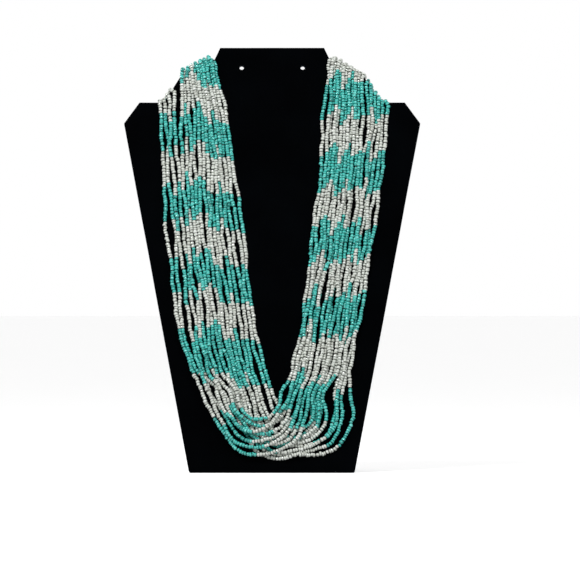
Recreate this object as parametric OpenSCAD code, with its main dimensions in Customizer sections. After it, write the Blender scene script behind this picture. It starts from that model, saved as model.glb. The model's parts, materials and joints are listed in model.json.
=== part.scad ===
// Multi strand bead necklace draped over a leaning display board.
// The middle of the board's base lies at the origin, the floor is z = 0 and the front faces -Y.
// Points on the board are [across, up along the face, out from the face], in millimetres.

/* [Display board] */
// Width of the board across its shoulders
board_w = 216; // [200:1:240]
// Length of the board, measured up along its face
board_h = 320; // [300:1:345]
// Thickness of the board
board_t = 3.6; // [3:0.1:5]
// Angle by which the board leans back from upright
board_lean = 15; // [10:1:20]
// Radius of the two bottom corners
board_corner_r = 3; // [1:0.5:6]
// Diameter of each earring hole
hole_d = 3.4; // [2.5:0.1:4]
// Distance between the two earring holes
hole_span = 44.6; // [30:0.5:60]
// Distance from the top edge down to the earring holes
hole_drop = 15; // [8:0.5:20]

/* [Easel strut] */
// Thickness of the strut
strut_t = 3; // [2:0.1:4]
// Width of the strut where it meets the board
strut_top_w = 46; // [30:1:70]
// Width of the strut at the floor
strut_foot_w = 78; // [50:1:110]
// Height up the board at which the strut is seated
strut_seat_up = 188; // [150:1:200]
// Distance from the board's base back to the strut's foot
strut_reach = 114; // [95:1:140]

/* [Bead strings] */
// Diameter of a bead string's tube
string_d = 2.5; // [2.2:0.1:2.9]
// Room kept between two strings that lie side by side
string_room = 0.3; // [0.25:0.05:0.5]

/* [Clasp] */
// Length of the clasp between its two mouths
clasp_l = 24; // [16:1:36]
// Distance from the board's top edge down to the clasp's middle
clasp_drop = 58; // [54:0.5:66]
// Wall of the clasp over and under its two layers of strings
clasp_cover = 0.7; // [0.4:0.1:1.5]
// Radius of the clasp's long edges
clasp_edge_r = 2.4; // [1:0.1:2.8]
// Wall of the clasp beside the last string at each end of its mouth
clasp_wall = 1.2; // [0.8:0.1:3]

/* [Hidden] */
STRING_COUNT = 18;
FRONT_SHEET_COUNT = 8;
STRING_SIDES = 8;

half_w = board_w / 2;
// One lane is the distance between the middles of two strings that touch.
lane = string_d + string_room;
rest_h = lane / 2;
// Clearance of the clasp and the strut from the board, and of the strings from the clasp
seat_gap = 0.2;
base_front_y = -board_t / (2 * cos(board_lean));
// The clasp's mouth holds the strings in two layers.
MOUTH_LAYERS = 2;
// Pitch of the mouth's rows, in lanes
MOUTH_SPREAD = 1.04;
mouth_rows = STRING_COUNT / MOUTH_LAYERS;
mouth_pitch = lane * MOUTH_SPREAD;
clasp_up = board_h - clasp_drop;
clasp_h = mouth_rows * mouth_pitch + 2 * clasp_wall;
clasp_t = MOUTH_LAYERS * lane + 2 * clasp_cover;

// The board's outline from the top edge outward and down.
// Columns: share of half the width, share of the height.
BOARD_EDGE = [
    [0.352, 1.000],
    [0.389, 0.9725],
    [0.620, 0.932],
    [0.732, 0.8695],
    [0.897, 0.8695],
    [1.000, 0.8200],
    [0.551, 0.0000]
];

// Where the strings lie on the board at chosen heights, from the board's edge downward.
// Columns: share of the height, share of half the width at the outer string, cosine of the
// strings' lean, then each string's place from the outer one, counted in place steps.
// The first row is the crossing of the board's edge, and its height comes from the outline.
LEFT_ROWS = [
    [0.000, 0.751, 1.00,
        -0.3, 0.9, 2.0, 3.0, 5.4, 6.0, 6.7, 7.4, 8.0, 8.7, 9.4, 10.0, 10.7, 11.3, 11.8, 12.4, 12.9, 13.4],
    [0.817, 0.749, 1.00,
        0, 1.1, 2.2, 3.6, 5.4, 6.4, 7.5, 8.7, 9.8, 10.6, 11.4, 12.1, 12.9, 13.7, 14.5, 15.3, 16.2, 17.3],
    [0.711, 0.732, 1.00,
        0, 1.3, 2.4, 3.7, 5.0, 6.1, 7.1, 8.2, 9.4, 10.6, 11.6, 12.7, 13.6, 14.4, 15.2, 16.0, 17.0, 18.2],
    [0.547, 0.706, 1.00,
        0, 2.1, 3.0, 4.5, 5.4, 6.5, 7.4, 8.2, 9.2, 10.6, 11.5, 12.3, 13.3, 14.5, 15.6, 17.0, 18.5, 19.8],
    [0.383, 0.638, 0.98,
        0, 0.8, 3.0, 4.2, 5.3, 6.3, 7.7, 8.7, 9.6, 10.8, 11.6, 12.4, 13.5, 14.7, 16.0, 17.3, 18.4, 19.3],
    [0.300, 0.605, 0.94,
        0, 1.3, 2.8, 3.9, 5.1, 6.1, 7.1, 8.1, 9.3, 10.5, 11.6, 12.5, 13.4, 14.5, 15.8, 17.1, 18.4, 19.5],
    [0.230, 0.521, 0.84,
        0, 0.8, 1.7, 2.9, 3.8, 4.8, 5.9, 7.1, 8.6, 9.5, 10.4, 11.3, 12.3, 13.2, 14.1, 15.2, 17.4, 18.7]
];
RIGHT_ROWS = [
    [0.000, 0.779, 1.00,
        9.6, 10.4, 11.1, 11.9, 12.6, 13.3, 14.0, 14.6, 0, 1.3, 2.3, 3.3, 4.3, 5.3, 6.6, 7.3, 8.1, 8.8],
    [0.817, 0.773, 1.00,
        10.0, 10.9, 11.8, 12.6, 13.4, 14.3, 15.1, 16.7, 0, 1.2, 2.0, 2.9, 3.7, 4.5, 6.3, 7.4, 8.2, 9.1],
    [0.711, 0.742, 1.00,
        9.6, 10.5, 11.4, 12.2, 13.0, 13.9, 14.7, 15.8, 0, 1.2, 2.2, 3.2, 4.1, 5.0, 5.9, 7.1, 7.9, 8.8],
    [0.547, 0.675, 1.00,
        8.9, 9.7, 10.7, 11.6, 12.5, 13.4, 14.5, 15.5, 0, 1.1, 2.0, 2.9, 3.7, 4.5, 5.3, 6.8, 7.5, 8.2],
    [0.383, 0.598, 0.98,
        8.4, 9.3, 11.1, 11.7, 12.4, 13.0, 13.7, 14.5, 0, 0.9, 1.8, 2.6, 3.4, 4.2, 5.1, 5.9, 6.8, 7.6],
    [0.300, 0.557, 0.94,
        8.3, 9.2, 10.7, 11.5, 12.3, 13.0, 13.8, 14.7, 0, 0.8, 1.7, 2.5, 3.2, 4.0, 4.9, 5.7, 6.6, 7.4],
    [0.230, 0.517, 0.86,
        8.2, 9.2, 10.3, 11.1, 11.8, 12.8, 13.7, 14.7, 0, 0.8, 1.6, 2.4, 3.0, 3.8, 4.7, 5.5, 6.3, 7.2]
];
ROW_UP = 0;
ROW_OUT = 1;
ROW_SLANT = 2;
// Rings between each row and the one before it
ROW_STEPS = [0, 1, 2, 2, 3, 2, 2];
// One place step as a share of half the board's width
PLACE_SHARE = 0.026;
place_step = PLACE_SHARE * half_w;
// How far a string strays sideways between the rows, in place steps
SWAY = 0.18;

// The two sheets that swing round the bottom, as rays of a fan seen from the front.
// The front sheet holds strings 1 to 8, the back sheet the rest.
// Columns: angle of the ray, radius of the inner and the outer string as shares of half the width,
// and how many lanes the sheet is lifted off the board.
FRONT_FAN = [
    [180, 0.204, 0.394, 1.95],
    [200, 0.181, 0.356, 1.95],
    [220, 0.160, 0.347, 1.95],
    [238, 0.154, 0.375, 1.95],
    [254, 0.154, 0.394, 1.95],
    [270, 0.155, 0.375, 1.95],
    [286, 0.150, 0.343, 1.95],
    [302, 0.144, 0.310, 1.95],
    [320, 0.136, 0.294, 1.95],
    [340, 0.138, 0.292, 1.95],
    [360, 0.144, 0.301, 1.30]
];
BACK_FAN = [
    [180, 0.159, 0.412, 0],
    [200, 0.146, 0.407, 0],
    [220, 0.150, 0.421, 0],
    [238, 0.171, 0.454, 0],
    [254, 0.194, 0.444, 0],
    [270, 0.206, 0.417, 0],
    [286, 0.199, 0.421, 0],
    [302, 0.176, 0.440, 0],
    [320, 0.150, 0.421, 0],
    [340, 0.131, 0.389, 0],
    [360, 0.128, 0.355, 0]
];
FAN_ANGLE = 0;
FAN_INNER = 1;
FAN_OUTER = 2;
FAN_LIFT = 3;
// Middle of each fan: share of half the width, share of the height
FRONT_FAN_MIDDLE = [-0.068, 0.176];
BACK_FAN_MIDDLE = [0.168, 0.171];
// Each string's place across its fan, from the outer one to the inner one
FRONT_FAN_PLACES = [0, 1, 2, 3, 4, 5, 6, 7];
BACK_FAN_PLACES = [0, 1.9, 2.8, 3.7, 4.6, 5.4, 6.2, 7.2, 8.2, 9.0];
// Cosine of the strings' lean to their rays
FAN_SLANT = 0.95;
// Lift of the front sheet in the last rows above its fan, in lanes: left side, then right side
FRONT_SHEET_RISE = [[0.3, 0.9], [0.1, 0.5]];

// Turns of a string round each corner of the board's edge, and along its way down the back
WRAP_TURNS = [0, 45, 90];
BACK_TURNS = [30, 60, 90];

function string_name(i) = str("strand_", i < 10 ? "0" : "", i);

// The even strings lie on the board and the odd ones settle into the valleys between them.
LAYING_ORDER = concat([for (i = [2:2:STRING_COUNT]) i], [for (i = [1:2:STRING_COUNT]) i]);
function is_upper(i) = i % 2 == 1;
function in_front_sheet(i) = i <= FRONT_SHEET_COUNT;

// A curve through four rows, taken between the middle two
function between(r, t) =
    0.5 * (2 * r[1] + (r[2] - r[0]) * t + (2 * r[0] - 5 * r[1] + 4 * r[2] - r[3]) * t * t
    + (3 * r[1] - r[0] - 3 * r[2] + r[3]) * t * t * t);

function all_rows(table) =
    let (last = len(table) - 1)
    concat([table[0], table[1]],
        [for (k = [1:last - 1]) for (m = [1:ROW_STEPS[k + 1]])
            between([table[max(k - 1, 1)], table[k], table[k + 1], table[min(k + 2, last)]],
                m / ROW_STEPS[k + 1])]);

function sway(q, i) = SWAY * sin(137 * i + 109 * q);
function swayed(rows) =
    [for (q = [0:len(rows) - 1])
        [for (c = [0:len(rows[q]) - 1])
            rows[q][c] + (c > ROW_SLANT && q > 1 && q < len(rows) - 1 ? sway(q, c - ROW_SLANT) : 0)]];

// Gap between two strings over the span from one row to the next, in lanes: none where they cross
function span_gap(rows, q, i, j) =
    let (a = (rows[q][ROW_SLANT + i] - rows[q][ROW_SLANT + j]) * rows[q][ROW_SLANT])
    let (b = (rows[q + 1][ROW_SLANT + i] - rows[q + 1][ROW_SLANT + j]) * rows[q + 1][ROW_SLANT])
    a * b <= 0 ? 0 : min(abs(a), abs(b)) * place_step / lane;
function gap_near(rows, q, i, j) =
    min([for (s = [max(q - 1, 0):min(q, len(rows) - 2)]) span_gap(rows, s, i, j)]);

// Heights of the strings over the board, in lanes: each rests on those laid before it.
// On the board's slanting edge it passes a full lane over them.
function settled(rows, order, from_edge, laid = []) =
    len(laid) == len(order) ? laid :
    let (i = order[len(laid)])
    settled(rows, order, from_edge, concat(laid, [
        [for (q = [0:len(rows) - 1])
            max(concat([0], [for (b = [0:1:len(laid) - 1])
                let (g = gap_near(rows, q, i, order[b]))
                if (g < 1) laid[b][q] + (from_edge && q == 0 ? 1 : sqrt(1 - g * g))]))]]));
function height_of(heights, order, i, q) = heights[search(i, order)[0]][q];

left_rows = swayed(all_rows(LEFT_ROWS));
right_rows = swayed(all_rows(RIGHT_ROWS));
left_heights = settled(left_rows, LAYING_ORDER, true);
right_heights = settled(right_rows, LAYING_ORDER, true);

// Radius of a string on a ray of its fan
function fan_share(i) =
    let (places = in_front_sheet(i) ? FRONT_FAN_PLACES : BACK_FAN_PLACES)
    let (first = in_front_sheet(i) ? 1 : FRONT_SHEET_COUNT + 1)
    places[i - first] / places[len(places) - 1];
function fan_radius(ray, i) = half_w * (ray[FAN_OUTER] + (ray[FAN_INNER] - ray[FAN_OUTER]) * fan_share(i));
function fan_rows(fan) =
    [for (ray = fan) concat([0, 0, FAN_SLANT], [for (i = [1:STRING_COUNT]) fan_radius(ray, i) / place_step])];
front_order = [for (i = LAYING_ORDER) if (in_front_sheet(i)) i];
back_order = [for (i = LAYING_ORDER) if (!in_front_sheet(i)) i];
front_fan_heights = settled(fan_rows(FRONT_FAN), front_order, false);
back_fan_heights = settled(fan_rows(BACK_FAN), back_order, false);

// The board's edge at a distance from its middle: its height, and the cosine of its slope
function edge_part(u) =
    max([for (k = [0:len(BOARD_EDGE) - 2]) if (k == 0 || u >= BOARD_EDGE[k][0] * half_w) k]);
function edge_end(k) = [BOARD_EDGE[k][0] * half_w, BOARD_EDGE[k][1] * board_h];
function edge_up(u) =
    let (a = edge_end(edge_part(u)), b = edge_end(edge_part(u) + 1))
    a[1] + (b[1] - a[1]) * (u - a[0]) / (b[0] - a[0]);
function edge_slope(u) =
    let (run = edge_end(edge_part(u) + 1) - edge_end(edge_part(u)))
    run[0] / norm(run);

// A string's points from the clasp, over the board's edge and down the front, on the right half.
// It passes straight up over the edge, and the more the edge slopes, the higher the string rises.
function side_points(i, rows, heights, rise, mouth_rank) =
    let (cross_u = rows[0][ROW_OUT] * half_w - rows[0][ROW_SLANT + i] * place_step)
    let (cross_w = edge_up(cross_u))
    let (r = rest_h + height_of(heights, LAYING_ORDER, i, 0) * lane)
    let (crest = r / edge_slope(cross_u))
    let (mouth_u = clasp_l / 2 + seat_gap)
    let (mouth_w = clasp_up + (floor(mouth_rank / MOUTH_LAYERS) - (mouth_rows - 1) / 2) * mouth_pitch)
    let (back_n = -board_t - rest_h - (is_upper(i) ? lane : 0))
    let (last = len(rows) - 1)
    concat(
        [for (k = [len(BACK_TURNS) - 1:-1:0]) [
            mouth_u + (cross_u - mouth_u) * cos(BACK_TURNS[k]),
            mouth_w + (cross_w - mouth_w) * (1 - sin(BACK_TURNS[k])),
            back_n]],
        [for (turn = WRAP_TURNS) [
            cross_u,
            cross_w + crest * sin(turn),
            -board_t - r * cos(turn)]],
        [for (k = [len(WRAP_TURNS) - 1:-1:0]) [
            cross_u,
            cross_w + crest * sin(WRAP_TURNS[k]),
            r * cos(WRAP_TURNS[k])]],
        [for (q = [1:last]) [
            rows[q][ROW_OUT] * half_w - rows[q][ROW_SLANT + i] * place_step,
            rows[q][ROW_UP] * board_h,
            rest_h + (height_of(heights, LAYING_ORDER, i, q)
                + (in_front_sheet(i) && q > last - 2 ? rise[q - last + 1] : 0)) * lane]]);

function fan_points(i) =
    let (fan = in_front_sheet(i) ? FRONT_FAN : BACK_FAN)
    let (middle = in_front_sheet(i) ? FRONT_FAN_MIDDLE : BACK_FAN_MIDDLE)
    let (heights = in_front_sheet(i) ? front_fan_heights : back_fan_heights)
    let (order = in_front_sheet(i) ? front_order : back_order)
    [for (q = [0:len(fan) - 1]) [
        middle[0] * half_w + fan_radius(fan[q], i) * cos(fan[q][FAN_ANGLE]),
        middle[1] * board_h + fan_radius(fan[q], i) * sin(fan[q][FAN_ANGLE]),
        rest_h + (height_of(heights, order, i, q) + fan[q][FAN_LIFT]) * lane]];

// Rank of a string along the board's edge, from the outer one: the back sheet is outermost on the right
function left_rank(i) = i - 1;
function right_rank(i) = (i - 1 - FRONT_SHEET_COUNT + STRING_COUNT) % STRING_COUNT;

function mirrored(points) = [for (p = points) [-p[0], p[1], p[2]]];
function reversed(points) = [for (k = [len(points) - 1:-1:0]) points[k]];
function string_route(i) = concat(
    mirrored(side_points(i, left_rows, left_heights, FRONT_SHEET_RISE[0], left_rank(i))),
    fan_points(i),
    reversed(side_points(i, right_rows, right_heights, FRONT_SHEET_RISE[1], right_rank(i))));

// Every string leaves the clasp's left mouth and enters its right one square to them.
MOUTH_HEADING = [-1, 0, 0];
function unit(v) = v / norm(v);
function heading(points, k) =
    k == 0 || k == len(points) - 1 ? MOUTH_HEADING :
    unit(unit(points[k] - points[k - 1]) + unit(points[k + 1] - points[k]));
// One side direction for each ring, carried along the route without twist
function sides_along(points, done) =
    len(done) == len(points) ? done :
    let (t = heading(points, len(done)), last = done[len(done) - 1])
    sides_along(points, concat(done, [unit(last - (last * t) * t)]));

module tube(points, d) {
    sides = sides_along(points, [[0, 0, 1]]);
    n = STRING_SIDES;
    rings = [for (k = [0:len(points) - 1])
        let (a = sides[k], b = cross(heading(points, k), sides[k]))
        for (s = [0:n - 1])
            points[k] + (a * cos(360 * s / n) + b * sin(360 * s / n)) * d / 2];
    walls = [for (k = [0:len(points) - 2]) for (s = [0:n - 1])
        let (p = k * n + s, q = k * n + (s + 1) % n)
        each [[p, p + n, q], [q, p + n, q + n]]];
    first_cap = [for (s = [0:n - 1]) s];
    last_cap = [for (s = [n - 1:-1:0]) (len(points) - 1) * n + s];
    polyhedron(points = rings, faces = concat([first_cap], walls, [last_cap]));
}

module on_board() {
    translate([0, base_front_y, 0]) rotate([90 - board_lean, 0, 0]) children();
}

module above_floor() {
    reach = 3 * board_h;
    intersection() {
        children();
        translate([-reach, -reach, 0]) cube(2 * reach);
    }
}

function corner_arc(steps = 6) =
    let (foot = edge_end(len(BOARD_EDGE) - 1), shoulder = edge_end(len(BOARD_EDGE) - 2))
    let (slope = atan2(shoulder[1] - foot[1], shoulder[0] - foot[0]))
    let (back = board_corner_r / tan((180 - slope) / 2))
    [for (k = [0:steps])
        let (a = slope - 90 - k * slope / steps)
        [foot[0] - back + board_corner_r * cos(a), board_corner_r + board_corner_r * sin(a)]];

module board_outline() {
    half = concat([for (k = [0:len(BOARD_EDGE) - 2]) edge_end(k)], corner_arc());
    polygon(concat(half, reversed([for (p = half) [-p[0], p[1]]])));
}

module earring_hole(side) {
    cut = 1;
    translate([side * hole_span / 2, board_h - hole_drop, -board_t - cut])
        cylinder(d = hole_d, h = board_t + 2 * cut, $fn = 48);
}

module display_board() {
    color("#0c0c0f")
        above_floor() on_board() difference() {
            translate([0, 0, -board_t]) linear_extrude(board_t) board_outline();
            for (side = [-1, 1]) earring_hole(side);
        }
}

// The strut's own frame runs from its foot on the floor up to its seat on the board's back.
module strut_panel(length) {
    translate([0, 0, -strut_t / 2]) linear_extrude(strut_t) polygon([
        [-strut_foot_w / 2, -strut_t], [strut_foot_w / 2, -strut_t],
        [strut_top_w / 2, length], [-strut_top_w / 2, length]]);
}

module easel_strut() {
    seat_y = base_front_y + strut_seat_up * sin(board_lean) + board_t * cos(board_lean);
    seat_z = strut_seat_up * cos(board_lean) - board_t * sin(board_lean);
    foot_angle = atan2(seat_z, strut_reach - seat_y);
    length = norm([seat_z, strut_reach - seat_y]) + strut_t;
    behind = board_h;
    color("#17171a")
        above_floor() intersection() {
            translate([0, strut_reach, 0]) rotate([180 - foot_angle, 0, 0]) strut_panel(length + strut_t);
            on_board() translate([-behind, -behind, -board_t - seat_gap - behind])
                cube([2 * behind, 3 * behind, behind]);
        }
}

module rounded_bar(w, h, r) {
    translate([-w / 2 + r, -h / 2]) square([w - 2 * r, h]);
    translate([-w / 2, -h / 2 + r]) square([w, h - 2 * r]);
    for (x = [-1, 1], y = [-1, 1])
        translate([x * (w / 2 - r), y * (h / 2 - r)]) circle(r, $fn = 32);
}

module clasp() {
    color("#b9b4a8")
        on_board() translate([-clasp_l / 2, clasp_up, -board_t - seat_gap - clasp_t / 2])
            rotate([90, 0, 90]) linear_extrude(clasp_l) rounded_bar(clasp_h, clasp_t, clasp_edge_r);
}

module strand(i) {
    color(i % 3 == 0 ? "#e2dbd2" : "#45b8aa")
        on_board() tube(string_route(i), string_d);
}

display_board();
easel_strut();
clasp();
for (i = [1:STRING_COUNT])
    strand(i);
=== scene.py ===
"""Eighteen strings of turquoise and white seed beads, draped over a leaning black velvet display board.

Lengths are in metres. A point on the board is (across, up along the face, out from the face).
"""

import json
import logging
import math
from dataclasses import dataclass, field
from enum import Enum

import bmesh
import bpy
import numpy as np
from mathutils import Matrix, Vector, kdtree, noise


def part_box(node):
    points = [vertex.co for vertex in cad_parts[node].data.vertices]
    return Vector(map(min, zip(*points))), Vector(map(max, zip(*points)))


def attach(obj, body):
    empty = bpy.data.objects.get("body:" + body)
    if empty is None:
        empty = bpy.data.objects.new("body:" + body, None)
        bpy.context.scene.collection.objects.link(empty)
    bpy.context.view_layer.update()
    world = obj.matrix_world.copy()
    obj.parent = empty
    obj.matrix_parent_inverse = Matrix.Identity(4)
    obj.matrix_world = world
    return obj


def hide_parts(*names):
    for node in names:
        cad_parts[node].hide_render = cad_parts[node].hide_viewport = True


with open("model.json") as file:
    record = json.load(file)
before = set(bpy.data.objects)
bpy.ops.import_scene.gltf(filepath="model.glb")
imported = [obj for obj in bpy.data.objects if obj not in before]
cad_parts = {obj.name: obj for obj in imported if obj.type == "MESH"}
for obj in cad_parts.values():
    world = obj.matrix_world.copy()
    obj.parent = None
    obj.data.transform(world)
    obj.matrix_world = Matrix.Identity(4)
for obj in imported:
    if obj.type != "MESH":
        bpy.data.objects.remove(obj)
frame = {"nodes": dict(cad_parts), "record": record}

LOG = logging.getLogger("necklace")
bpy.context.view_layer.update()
MM = 0.001
SEED = 1871
# A length that counts as nothing, and a height that is above the whole board
TINY, FAR = 1e-9, 1.0

Colour = tuple[float, float, float]
Span = tuple[float, float]
Point = tuple[float, float, float]
Row = tuple[float, ...]
Table = tuple[Row, ...]
WHITE: Colour = (1.0, 1.0, 1.0)


class BeadColour(Enum):
    """The two colours of bead, in the order of the string's material slots."""

    TURQUOISE = 0
    WHITE = 1


class Side(Enum):
    """A half of the board, as the sign of its distance across."""

    LEFT = -1
    RIGHT = 1


class MaterialMaker:
    """A new node material with a shader that is ready to be set."""

    # Most values of a noise lie between these two
    NOISE_SPAN: Span = (0.3, 0.7)

    def __init__(self, name: str) -> None:
        """Makes the material.

        Args:
            name: the material's name.
        """
        self.material = bpy.data.materials.new(name)
        self.material.use_nodes = True
        self.tree = self.material.node_tree
        self.shader = self.tree.nodes["Principled BSDF"]

    def socket(self, name: str) -> bpy.types.NodeSocket:
        """Finds a socket of the shader by its name in lower case with underscores."""
        return next(s for s in self.shader.inputs if s.name.lower().replace(" ", "_") == name)

    def set(self, **values: float | Colour) -> None:
        """Sets numbers and colours on the shader's own sockets.

        Args:
            values: values by socket name.
        """
        for name, value in values.items():
            socket = self.socket(name)
            socket.default_value = (*value, 1.0) if socket.type == "RGBA" else value

    def feed(self, **outs: bpy.types.NodeSocket) -> None:
        """Joins the outputs of nodes to the shader's sockets, given by their names."""
        for name, out in outs.items():
            self.link(out, self.socket(name))

    def node(self, kind: str, **settings: object) -> bpy.types.Node:
        """Adds a node.

        Args:
            kind: the node's type name.
            settings: values of the node's properties.

        Returns:
            The new node.
        """
        made = self.tree.nodes.new(kind)
        for name, value in settings.items():
            setattr(made, name, value)
        return made

    def link(self, out: bpy.types.NodeSocket, into: bpy.types.NodeSocket) -> None:
        """Joins two sockets."""
        self.tree.links.new(out, into)

    def attribute(self, name: str) -> bpy.types.NodeSocket:
        """Reads a number that the mesh carries at its points."""
        return self.node("ShaderNodeAttribute", attribute_name=name).outputs["Fac"]

    def noise(self, scale: float, detail: float = 2.0) -> bpy.types.NodeSocket:
        """Adds a noise over the object's own space.

        Args:
            scale: features in a metre.
            detail: octaves of finer noise.

        Returns:
            The noise's value.
        """
        place = self.node("ShaderNodeTexCoord")
        texture = self.node("ShaderNodeTexNoise")
        texture.inputs["Scale"].default_value = scale
        texture.inputs["Detail"].default_value = detail
        self.link(place.outputs["Object"], texture.inputs["Vector"])
        return texture.outputs[0]

    def mix(
        self, a: bpy.types.NodeSocket, b: bpy.types.NodeSocket, share: float, **settings: str
    ) -> bpy.types.NodeSocket:
        """Mixes two values or colours that vary over the surface.

        Args:
            a: the first one.
            b: the second one.
            share: share of the second one.
            settings: the kind of mix.

        Returns:
            The mixed value or colour.
        """
        made = self.node("ShaderNodeMix", **settings)
        made.inputs["Factor"].default_value = share
        self.link(a, made.inputs["A"])
        self.link(b, made.inputs["B"])
        return made.outputs["Result"]

    def ramp(
        self, value: bpy.types.NodeSocket, stops: list[tuple[float, Colour]]
    ) -> bpy.types.NodeSocket:
        """Turns a value into colours.

        Args:
            value: the socket that is read.
            stops: place and colour of each stop.

        Returns:
            The colour.
        """
        made = self.node("ShaderNodeValToRGB")
        bar = made.color_ramp
        while len(bar.elements) < len(stops):
            bar.elements.new(stops[-1][0])
        for element, (place, colour) in zip(bar.elements, stops):
            element.position = place
            element.color = (*colour, 1.0)
        self.link(value, made.inputs["Fac"])
        return made.outputs["Color"]

    def shades(
        self, value: bpy.types.NodeSocket, low: Colour, high: Colour, span: Span = NOISE_SPAN
    ) -> bpy.types.NodeSocket:
        """Turns a value into a colour between two, which it has at the two ends of a span."""
        return self.ramp(value, list(zip(span, (low, high))))

    def between(self, value: bpy.types.NodeSocket, ends: Span) -> bpy.types.NodeSocket:
        """Spreads a noise between two numbers.

        Args:
            value: the noise.
            ends: results at the two ends of the noise's usual span.

        Returns:
            The spread value.
        """
        made = self.node("ShaderNodeMapRange")
        names = ("From Min", "From Max", "To Min", "To Max")
        for name, number in zip(names, (*self.NOISE_SPAN, *ends)):
            made.inputs[name].default_value = number
        self.link(value, made.inputs["Value"])
        return made.outputs["Result"]

    def bump(self, height: bpy.types.NodeSocket, depth: float) -> None:
        """Raises the surface's fine relief.

        Args:
            height: value from 0 to 1.
            depth: height of the relief.
        """
        made = self.node("ShaderNodeBump")
        made.inputs["Strength"].default_value = 1.0
        made.inputs["Distance"].default_value = depth
        self.link(height, made.inputs["Height"])
        self.feed(normal=made.outputs["Normal"])


@dataclass(frozen=True)
class Finish:
    """What the finishes share: a name, and a new material that each of them dresses."""

    name: str

    def material(self) -> bpy.types.Material:
        """Makes the finish's material.

        Returns:
            The new material.
        """
        maker = MaterialMaker(self.name)
        self.dress(maker)
        return maker.material

    def dress(self, maker: MaterialMaker) -> None:
        """Sets the shader and joins to it what varies over the surface; each finish has its own way."""
        raise NotImplementedError


@dataclass(frozen=True)
class GlassBeadFinish(Finish):
    """Glossy glass that lets light in a little, with a tone that differs from bead to bead, and painted
    shade that darkens each bead's ends towards its hole.
    """

    deep: Colour
    middle: Colour
    pale: Colour
    # Tones between which a bead has the middle colour
    middle_span: Span = (0.35, 0.75)
    # Painted shade in the grooves between beads: how far down to the hole a bead's end begins to darken,
    # and by how much it does in the hole
    painted_shade_start: float = 0.4
    painted_shade_strength: float = 0.3
    ior: float = 1.5
    specular: float = 0.5
    coat: float = 0.5
    coat_roughness: float = 0.08
    glow: float = 0.5
    glow_depth: float = 0.7 * MM
    roughness: Span = (0.16, 0.30)
    wear_scale: float = 1400
    relief: float = 0.02 * MM
    relief_scale: float = 2600

    def dress(self, maker: MaterialMaker) -> None:
        """Dresses the material.

        Args:
            maker: the new material.
        """
        maker.set(ior=self.ior, specular_ior_level=self.specular)
        maker.set(coat_weight=self.coat, coat_roughness=self.coat_roughness)
        maker.set(subsurface_weight=self.glow, subsurface_scale=self.glow_depth, subsurface_radius=WHITE)
        low, high = self.middle_span
        stops = [(0.0, self.deep), (low, self.middle), (high, self.middle), (1.0, self.pale)]
        colour = maker.ramp(maker.attribute("bead_tone"), stops)
        # Painted shade: the colour darkens towards the bead's ends and hole, where shade falls in the
        # grooves between beads
        painted_shade_in_hole = (1 - self.painted_shade_strength,) * 3
        shade = maker.shades(maker.attribute("bead_end"), WHITE, painted_shade_in_hole, span=(self.painted_shade_start, 1.0))
        maker.feed(
            base_color=maker.mix(colour, shade, 1.0, data_type="RGBA", blend_type="MULTIPLY"),
            roughness=maker.between(maker.noise(self.wear_scale), self.roughness),
        )
        maker.bump(maker.noise(self.relief_scale), self.relief)


@dataclass(frozen=True)
class ThreadFinish(Finish):
    """Pale nylon thread, a little darker between its fibres."""

    name: str = "nylon_thread"
    colour: Colour = (0.55, 0.53, 0.48)
    shade: float = 0.7
    roughness: float = 0.6
    fibre_scale: float = 5000
    relief: float = 0.03 * MM

    def dress(self, maker: MaterialMaker) -> None:
        """Dresses the material.

        Args:
            maker: the new material.
        """
        maker.set(roughness=self.roughness)
        fibres = maker.noise(self.fibre_scale)
        dark = tuple(self.shade * c for c in self.colour)
        maker.feed(base_color=maker.shades(fibres, dark, self.colour))
        maker.bump(fibres, self.relief)


@dataclass(frozen=True)
class VelvetFinish(Finish):
    """Short black velvet pile, slightly uneven where it has been brushed."""

    name: str = "black_velvet"
    pressed: Colour = (0.0002, 0.0003, 0.0005)
    raised: Colour = (0.0008, 0.0012, 0.0017)
    raised_span: Span = (0.36, 0.64)
    bloom: Colour = (0.55, 0.65, 0.85)
    bloom_weight: Span = (0.15, 0.6)
    bloom_roughness: float = 0.3
    specular: float = 0.01
    roughness: Span = (0.85, 1.0)
    brush_scale: float = 26
    brush_detail: float = 3.0
    pile_scale: float = 2400
    pile_detail: float = 4.0
    pile_share: float = 0.45
    pile_relief: float = 0.25 * MM

    def dress(self, maker: MaterialMaker) -> None:
        """Dresses the material.

        Args:
            maker: the new material.
        """
        maker.set(specular_ior_level=self.specular)
        maker.set(sheen_roughness=self.bloom_roughness, sheen_tint=self.bloom)
        brushed = maker.noise(self.brush_scale, self.brush_detail)
        pile = maker.noise(self.pile_scale, self.pile_detail)
        mixed = maker.mix(brushed, pile, self.pile_share, data_type="FLOAT")
        maker.feed(
            base_color=maker.shades(mixed, self.pressed, self.raised, self.raised_span),
            roughness=maker.between(brushed, self.roughness),
            sheen_weight=maker.between(brushed, self.bloom_weight),
        )
        maker.bump(pile, self.pile_relief)


@dataclass(frozen=True)
class CardFinish(Finish):
    """Matte black covered card with a fine paper grain."""

    name: str = "black_card"
    dark: Colour = (0.008, 0.008, 0.009)
    light: Colour = (0.020, 0.020, 0.022)
    light_span: Span = (0.35, 0.65)
    specular: float = 0.3
    roughness: Span = (0.62, 0.8)
    grain_scale: float = 900
    grain_detail: float = 5.0
    relief: float = 0.08 * MM

    def dress(self, maker: MaterialMaker) -> None:
        """Dresses the material.

        Args:
            maker: the new material.
        """
        maker.set(specular_ior_level=self.specular)
        grain = maker.noise(self.grain_scale, self.grain_detail)
        maker.feed(
            base_color=maker.shades(grain, self.dark, self.light, self.light_span),
            roughness=maker.between(grain, self.roughness),
        )
        maker.bump(grain, self.relief)


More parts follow.
